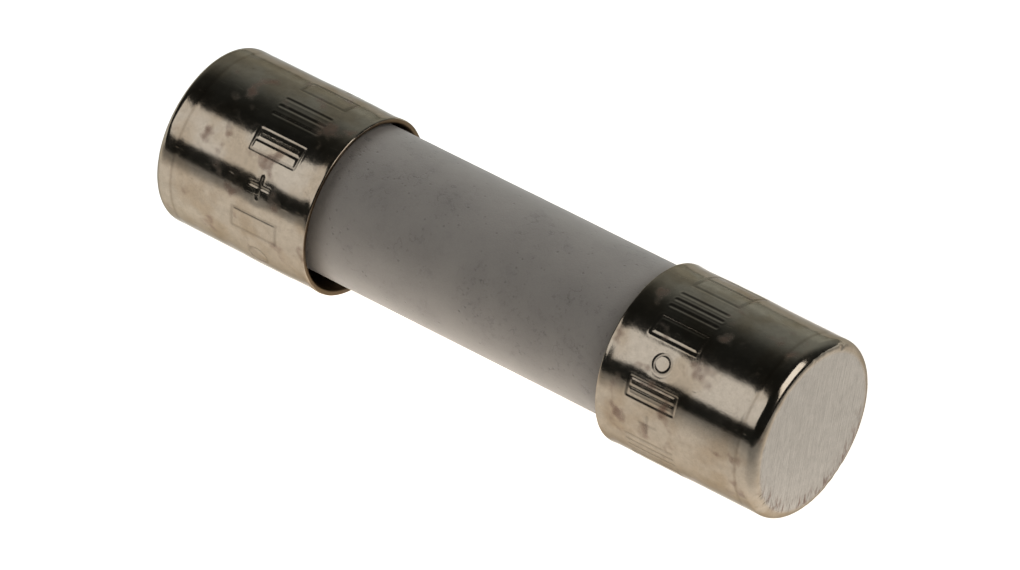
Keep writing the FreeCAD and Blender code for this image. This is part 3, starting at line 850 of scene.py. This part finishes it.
class FUSE_OT_ceramic_tube(bpy.types.Operator):
    """Make the ceramic tube"""

    bl_idname = "fuse.ceramic_tube"
    bl_label = "Ceramic Tube"

    def execute(self, context):
        tube = context.scene.fuse_tube
        inputs = {"Rows": "Int", "Columns": "Int", "Unevenness": "Float", "Material": "Material"}
        tree, source = geometry_tree("ceramic_tube", inputs)
        shape = turned_shape(tree, source, Vector((0.0, TUBE_AXIS.y, TUBE_AXIS.z)))
        position = tree.add("GeometryNodeInputPosition")
        broad = tree.noise(position, 1 / tube.wave, 1.0)
        fine = tree.noise(position, 6 / tube.wave, 3.0)
        height = ((broad - 0.5) * 2 + (fine - 0.5) * 0.5) * source.out("Unevenness")
        offset = tree.vector("SCALE", tree.add("GeometryNodeInputNormal"), height)
        uneven = tree.add("GeometryNodeSetPosition", None, {"Geometry": shape, "Offset": offset})
        close_tree(tree, uneven, source)

        end, outer, bore, chamfer = TUBE_HIGH.x - tube.unevenness, TUBE_RADIUS, tube.bore, tube.chamfer
        straight = end - chamfer
        section = run((-end, outer - chamfer), (-straight, outer), TUBE_ROWS / 2)
        section += run((-straight, outer), (straight, outer), TUBE_ROWS)
        section += run((straight, outer), (end, outer - chamfer), TUBE_ROWS / 2)
        section += run((end, outer - chamfer), (end, bore + chamfer), TUBE_ROWS)
        section += run((end, bore + chamfer), (straight, bore), TUBE_ROWS)
        section += run((straight, bore), (-straight, bore), 10 * TUBE_ROWS)
        section += run((-straight, bore), (-end, bore + chamfer), TUBE_ROWS)
        section += run((-end, bore + chamfer), (-end, outer - chamfer), TUBE_ROWS) + [section[0]]
        values = {"Rows": len(section), "Columns": tube.columns, "Unevenness": tube.unevenness,
                  "Material": ceramic_material(tube)}
        made = grown("bisque_tube", section_object("tube_section", section), tree, values)
        fit(tidy_mesh(made, 30), "ceramic_tube")
        return {"FINISHED"}


class FUSE_OT_fuse_wire(bpy.types.Operator):
    """Make the fuse wire: a winding with a folded tail at each end"""

    bl_idname = "fuse.fuse_wire"
    bl_label = "Fuse Wire"

    def execute(self, context):
        filling = context.scene.fuse_filling
        half = filling.coil_pitch * filling.coil_turns / 2
        steps = filling.coil_turns * TURN_STEPS
        radius, reach = filling.coil_radius, WIRE_HIGH.x - filling.wire_radius - WIRE_CLEARANCE
        coil = []
        for step in range(1, steps):
            turn = math.tau * filling.coil_turns * step / steps
            x = -half + 2 * half * step / steps
            coil.append((x, -filling.hand * radius * math.sin(turn), radius * math.cos(turn)))
        bend_centre = (reach - filling.tail_bend, radius + filling.tail_bend)
        tail = [(half + TAIL_START, radius), *arc(bend_centre, filling.tail_bend, -90, 0, BEND_STEPS)]
        tail.append((reach, WIRE_HIGH.z - CORE_AXIS.z))
        tail_b = [(x, 0.0, z) for x, z in tail]
        tail_a = [(-x, 0.0, z) for x, z in reversed(tail)]
        path = line_object("wire_path", [tail_a + coil + tail_b])
        tin = grained_material("tinned_wire", filling.tin, filling.tin_dull, scale=30.0, contrast=0.25,
                               roughness=0.28, relief=0.001, metallic=1.0)
        values = {"Radius": filling.wire_radius, "Sides": STRAND_SIDES, "Material": tin}
        made = moved(grown("tinned_fuse_wire", path, round_wire_tree("round_wire"), values), CORE_AXIS)
        fit(tidy_mesh(made), "fuse_wire")
        return {"FINISHED"}


class FUSE_OT_yarn_core(bpy.types.Operator):
    """Make the glass yarn that carries the winding, of twisted strands"""

    bl_idname = "fuse.yarn_core"
    bl_label = "Yarn Core"

    def execute(self, context):
        filling = context.scene.fuse_filling
        strand = (CORE_HIGH.z - CORE_AXIS.z) / 3
        places = [(0.0, 0.0)]
        for number in range(filling.strands):
            turn = math.tau * number / filling.strands
            places.append((2 * strand * math.sin(turn), 2 * strand * math.cos(turn)))
        lines = [[(CORE_LOW.x + strand, y, z), (CORE_HIGH.x - strand, y, z)] for y, z in places]
        glass = grained_material("glass_yarn", filling.glass, filling.glass_shade, scale=24.0, contrast=0.3,
                                 roughness=0.55, relief=0.004)
        values = {"Radius": strand, "Sides": STRAND_SIDES, "Pitch": filling.yarn_pitch, "Material": glass}
        path, tree = line_object("yarn_lines", lines), round_wire_tree("twisted_yarn", True)
        made = moved(grown("glass_yarn_core", path, tree, values), CORE_AXIS)
        fit(tidy_mesh(made), "yarn_core")
        return {"FINISHED"}


class FUSE_OT_sand(bpy.types.Operator):
    """Make the quartz sand round the winding, as packed grains"""

    bl_idname = "fuse.sand"
    bl_label = "Quartz Sand"

    def execute(self, context):
        filling = context.scene.fuse_filling
        inputs = {"Rows": "Int", "Columns": "Int", "Grain": "Float", "Seed": "Int", "Material": "Material"}
        tree, source = geometry_tree("packed_sand", inputs)
        mass = turned_shape(tree, source, CORE_AXIS)
        size, seed = source.out("Grain"), source.out("Seed")
        sockets = {"Mesh": mass, "Distance Min": size * GRAIN_DISTANCE, "Density Max": GRAIN_DENSITY,
                   "Seed": seed}
        spread = tree.add("GeometryNodeDistributePointsOnFaces", {"distribute_method": "POISSON"}, sockets)
        grain = tree.add("GeometryNodeMeshIcoSphere", None, {"Radius": size, "Subdivisions": 1})
        sockets = {"Points": spread, "Instance": grain, "Rotation": self.random(tree, 0.0, 6.28, seed + 1),
                   "Scale": self.random(tree, SMALLEST_GRAIN, 1.0, seed + 2)}
        grains = tree.add("GeometryNodeInstanceOnPoints", None, sockets)
        close_tree(tree, tree.add("GeometryNodeJoinGeometry", None, {0: [mass, grains]}), source, False)

        grain_size = filling.grain
        outer, end = SAND_HIGH.z - CORE_AXIS.z - grain_size, SAND_HIGH.x - grain_size
        inner = filling.channel + grain_size
        around = [(-end, inner), (-end, outer), (end, outer), (end, inner), (-end, inner)]
        section = []
        for start, stop in zip(around, around[1:]):
            section += run(start, stop, SAND_ROWS)
        section.append(around[0])
        quartz = grained_material("quartz_sand", filling.quartz, filling.quartz_shade, scale=9.0,
                                  contrast=0.3, roughness=0.6, relief=0.004)
        values = {"Rows": len(section), "Columns": SAND_COLUMNS, "Grain": grain_size, "Seed": filling.seed,
                  "Material": quartz}
        made = grown("quartz_grains", section_object("sand_section", section), tree, values)
        fit(tidy_mesh(made), "quartz_sand")
        return {"FINISHED"}

    @staticmethod
    def random(tree, low, high, seed):
        """A random vector for each grain, each part of it between two numbers."""
        sockets = {"Min": (low, low, low), "Max": (high, high, high), "Seed": seed}
        return tree.add("FunctionNodeRandomValue", {"data_type": "FLOAT_VECTOR"}, sockets)


class FUSE_OT_solder_and_discs(bpy.types.Operator):
    """Give the solder and the fibre discs their finishes"""

    bl_idname = "fuse.solder_and_discs"
    bl_label = "Solder and Discs"

    def execute(self, context):
        filling = context.scene.fuse_filling
        solder = grained_material("solder", filling.solder, filling.solder_dull, scale=7.0, contrast=0.35,
                                  roughness=0.34, relief=0.012, metallic=1.0)
        fibre = grained_material("fibre_board", filling.fibre, filling.fibre_shade, scale=14.0, contrast=0.4,
                                 roughness=0.7, relief=0.006)
        for kind, material in (("solder", solder), ("fibre_disc", fibre)):
            for side in "ab":
                slots = bpy.data.objects[kind + "_" + side].material_slots
                for slot in slots:
                    slot.material = material
                if not slots:
                    raise RuntimeError(kind + " has no material slot")
        return {"FINISHED"}


def direction(azimuth, elevation):
    """A direction from the fuse. Azimuth 0 is in front, at -Y, and a quarter turn is at +X."""
    level = math.cos(elevation)
    return Vector((math.sin(azimuth) * level, -math.cos(azimuth) * level, math.sin(elevation)))


class FUSE_OT_stage(bpy.types.Operator):
    """Make the floor, the lights and the camera"""

    bl_idname = "fuse.stage"
    bl_label = "Stage"

    def execute(self, context):
        stage = context.scene.fuse_stage
        self.make_floor(stage)
        self.make_world(context.scene, stage)
        for name, (level, *places) in SOFTBOXES.items():
            self.make_softbox(name, getattr(stage, level), *places)
        self.make_camera(context.scene, stage)
        context.scene.view_settings.view_transform = "Standard"
        return {"FINISHED"}

    @staticmethod
    def make_floor(stage):
        """The floor: pale paper that is lit from below near the fuse."""
        work = bmesh.new()
        bmesh.ops.create_grid(work, x_segments=8, y_segments=8, size=1.0)
        bmesh.ops.translate(work, verts=work.verts, vec=(0.0, 0.0, CAD_BOX[0][2]))
        mesh = bpy.data.meshes.new("paper_floor")
        work.to_mesh(mesh)
        work.free()
        floor = new_object("paper_floor", mesh)

        material, tree, place, parts = new_material("paper")
        cos, sin = math.cos(stage.azimuth), math.sin(stage.azimuth)
        across = parts * cos + parts.out("Y") * sin
        behind = parts.out("Y") * cos - parts * sin
        past_side = abs(across) * MM / stage.glow_width - 1
        past_front = abs(behind * MM - stage.glow_back) / stage.glow_depth - 1
        past_side = past_side.math("MAXIMUM", 0.0) * stage.fall_side
        past_front = past_front.math("MAXIMUM", 0.0) * stage.fall_front
        near_glow = (0 - (past_side ** 2 + past_front ** 2) ** 0.5).math("EXPONENT")
        far_glow = behind.fade(*FAR_RISE) * behind.fade(*FAR_FALL) * stage.sweep
        under = parts.out("Y").hump(*FOOT_STRIP) * abs(parts).fade(*FOOT_ENDS) * stage.under
        glow = near_glow.math("MAXIMUM", far_glow) + under
        warmth = tree.blend(behind.fade(*COOLING), stage.glow, stage.glow_behind)
        grain = tree.noise(place, 6.0, 4.0, 0.6)
        finish_material(tree, grain * 0.002, {
            "Base Color": tree.vector("MULTIPLY", 0.98 + grain * 0.04, tuple(stage.floor)), "Roughness": 0.85,
            "Emission Color": tree.vector("MULTIPLY", glow * stage.glow_strength, warmth),
            "Emission Strength": 1.0})
        mesh.materials.append(material)

    @staticmethod
    def make_world(scene, stage):
        """The dim studio round the stage: a grey wall behind the fuse, dark overhead and in front."""
        world = bpy.data.worlds.new("studio")
        scene.world = world
        world.use_nodes = True
        world.node_tree.nodes.clear()
        tree = Tree(world.node_tree)
        towards = tree.add("ShaderNodeTexCoord", None, None, "Generated")
        facing = tree.vector("DOT_PRODUCT", towards, Vector(WALL).normalized())
        level = tree.add("ShaderNodeValToRGB", {"stops": WALL_LEVELS}, {0: facing})
        tinted = tree.vector("MULTIPLY", level, tuple(stage.air))
        background = tree.add("ShaderNodeBackground", None, {"Color": tinted, "Strength": stage.back_level})
        tree.add("ShaderNodeOutputWorld", None, {"Surface": background})

    @staticmethod
    def make_softbox(name, level, azimuth, elevation, size, mirrored):
        """A softbox that faces the fuse, and that metal may mirror or not."""
        light = bpy.data.lights.new(name, "AREA")
        light.shape = "RECTANGLE"
        light.size, light.size_y = size
        light.energy = level * math.pi * size[0] * size[1]
        made = new_object(name, light)
        made.visible_camera = False
        made.visible_glossy = mirrored
        towards = direction(math.radians(azimuth), math.radians(elevation))
        facing = towards.to_track_quat("Z", "Y").to_matrix().to_4x4()
        made.matrix_world = Matrix.Translation(towards * SOFTBOX_DISTANCE) @ facing

    @staticmethod
    def make_camera(scene, stage):
        """The camera, level, looking at the fuse from in front and above."""
        camera = bpy.data.cameras.new("camera")
        camera.lens = stage.lens
        camera.sensor_width = 36.0
        camera.clip_start, camera.clip_end = 0.01, 10.0
        made = new_object("camera", camera)
        back = direction(stage.azimuth, stage.elevation)
        right = Vector((math.cos(stage.azimuth), math.sin(stage.azimuth), 0.0))
        up = back.cross(right)
        aim = right * stage.aim_right - up * stage.aim_down
        axes = Matrix((right, up, back)).transposed().to_4x4()
        made.matrix_world = Matrix.Translation(aim + back * stage.distance) @ axes
        scene.camera = made


class FUSE_PT_panel(bpy.types.Panel):
    """The fuse's pieces in the sidebar"""

    bl_idname = "FUSE_PT_panel"
    bl_label = "Cartridge Fuse"
    bl_space_type = "VIEW_3D"
    bl_region_type = "UI"
    bl_category = "Fuse"

    def draw(self, context):
        for operator in OPERATORS:
            self.layout.operator(operator.bl_idname)
        for settings in SETTINGS:
            group = getattr(context.scene, settings)
            box = self.layout.box()
            for name in group.bl_rna.properties.keys():
                if name not in ("rna_type", "name"):
                    box.prop(group, name)


SETTINGS = {
    "fuse_caps": FUSE_PG_caps,
    "fuse_tube": FUSE_PG_tube,
    "fuse_filling": FUSE_PG_filling,
    "fuse_stage": FUSE_PG_stage,
}
OPERATORS = (
    FUSE_OT_end_caps,
    FUSE_OT_ceramic_tube,
    FUSE_OT_fuse_wire,
    FUSE_OT_yarn_core,
    FUSE_OT_sand,
    FUSE_OT_solder_and_discs,
    FUSE_OT_stage,
)
CLASSES = (*SETTINGS.values(), *OPERATORS, FUSE_PT_panel)


def register():
    """Registers the classes and gives the scene its settings."""
    for cls in CLASSES:
        bpy.utils.register_class(cls)
    for name, group in SETTINGS.items():
        setattr(bpy.types.Scene, name, PointerProperty(type=group))


def unregister():
    """Takes back what register did."""
    for name in SETTINGS:
        delattr(bpy.types.Scene, name)
    for cls in reversed(CLASSES):
        bpy.utils.unregister_class(cls)


def main():
    """Makes the whole fuse and its stage."""
    register()
    bpy.ops.fuse.end_caps()
    bpy.ops.fuse.ceramic_tube()
    bpy.ops.fuse.fuse_wire()
    bpy.ops.fuse.yarn_core()
    bpy.ops.fuse.sand()
    bpy.ops.fuse.solder_and_discs()
    bpy.ops.fuse.stage()


if __name__ == "__main__":
    main()
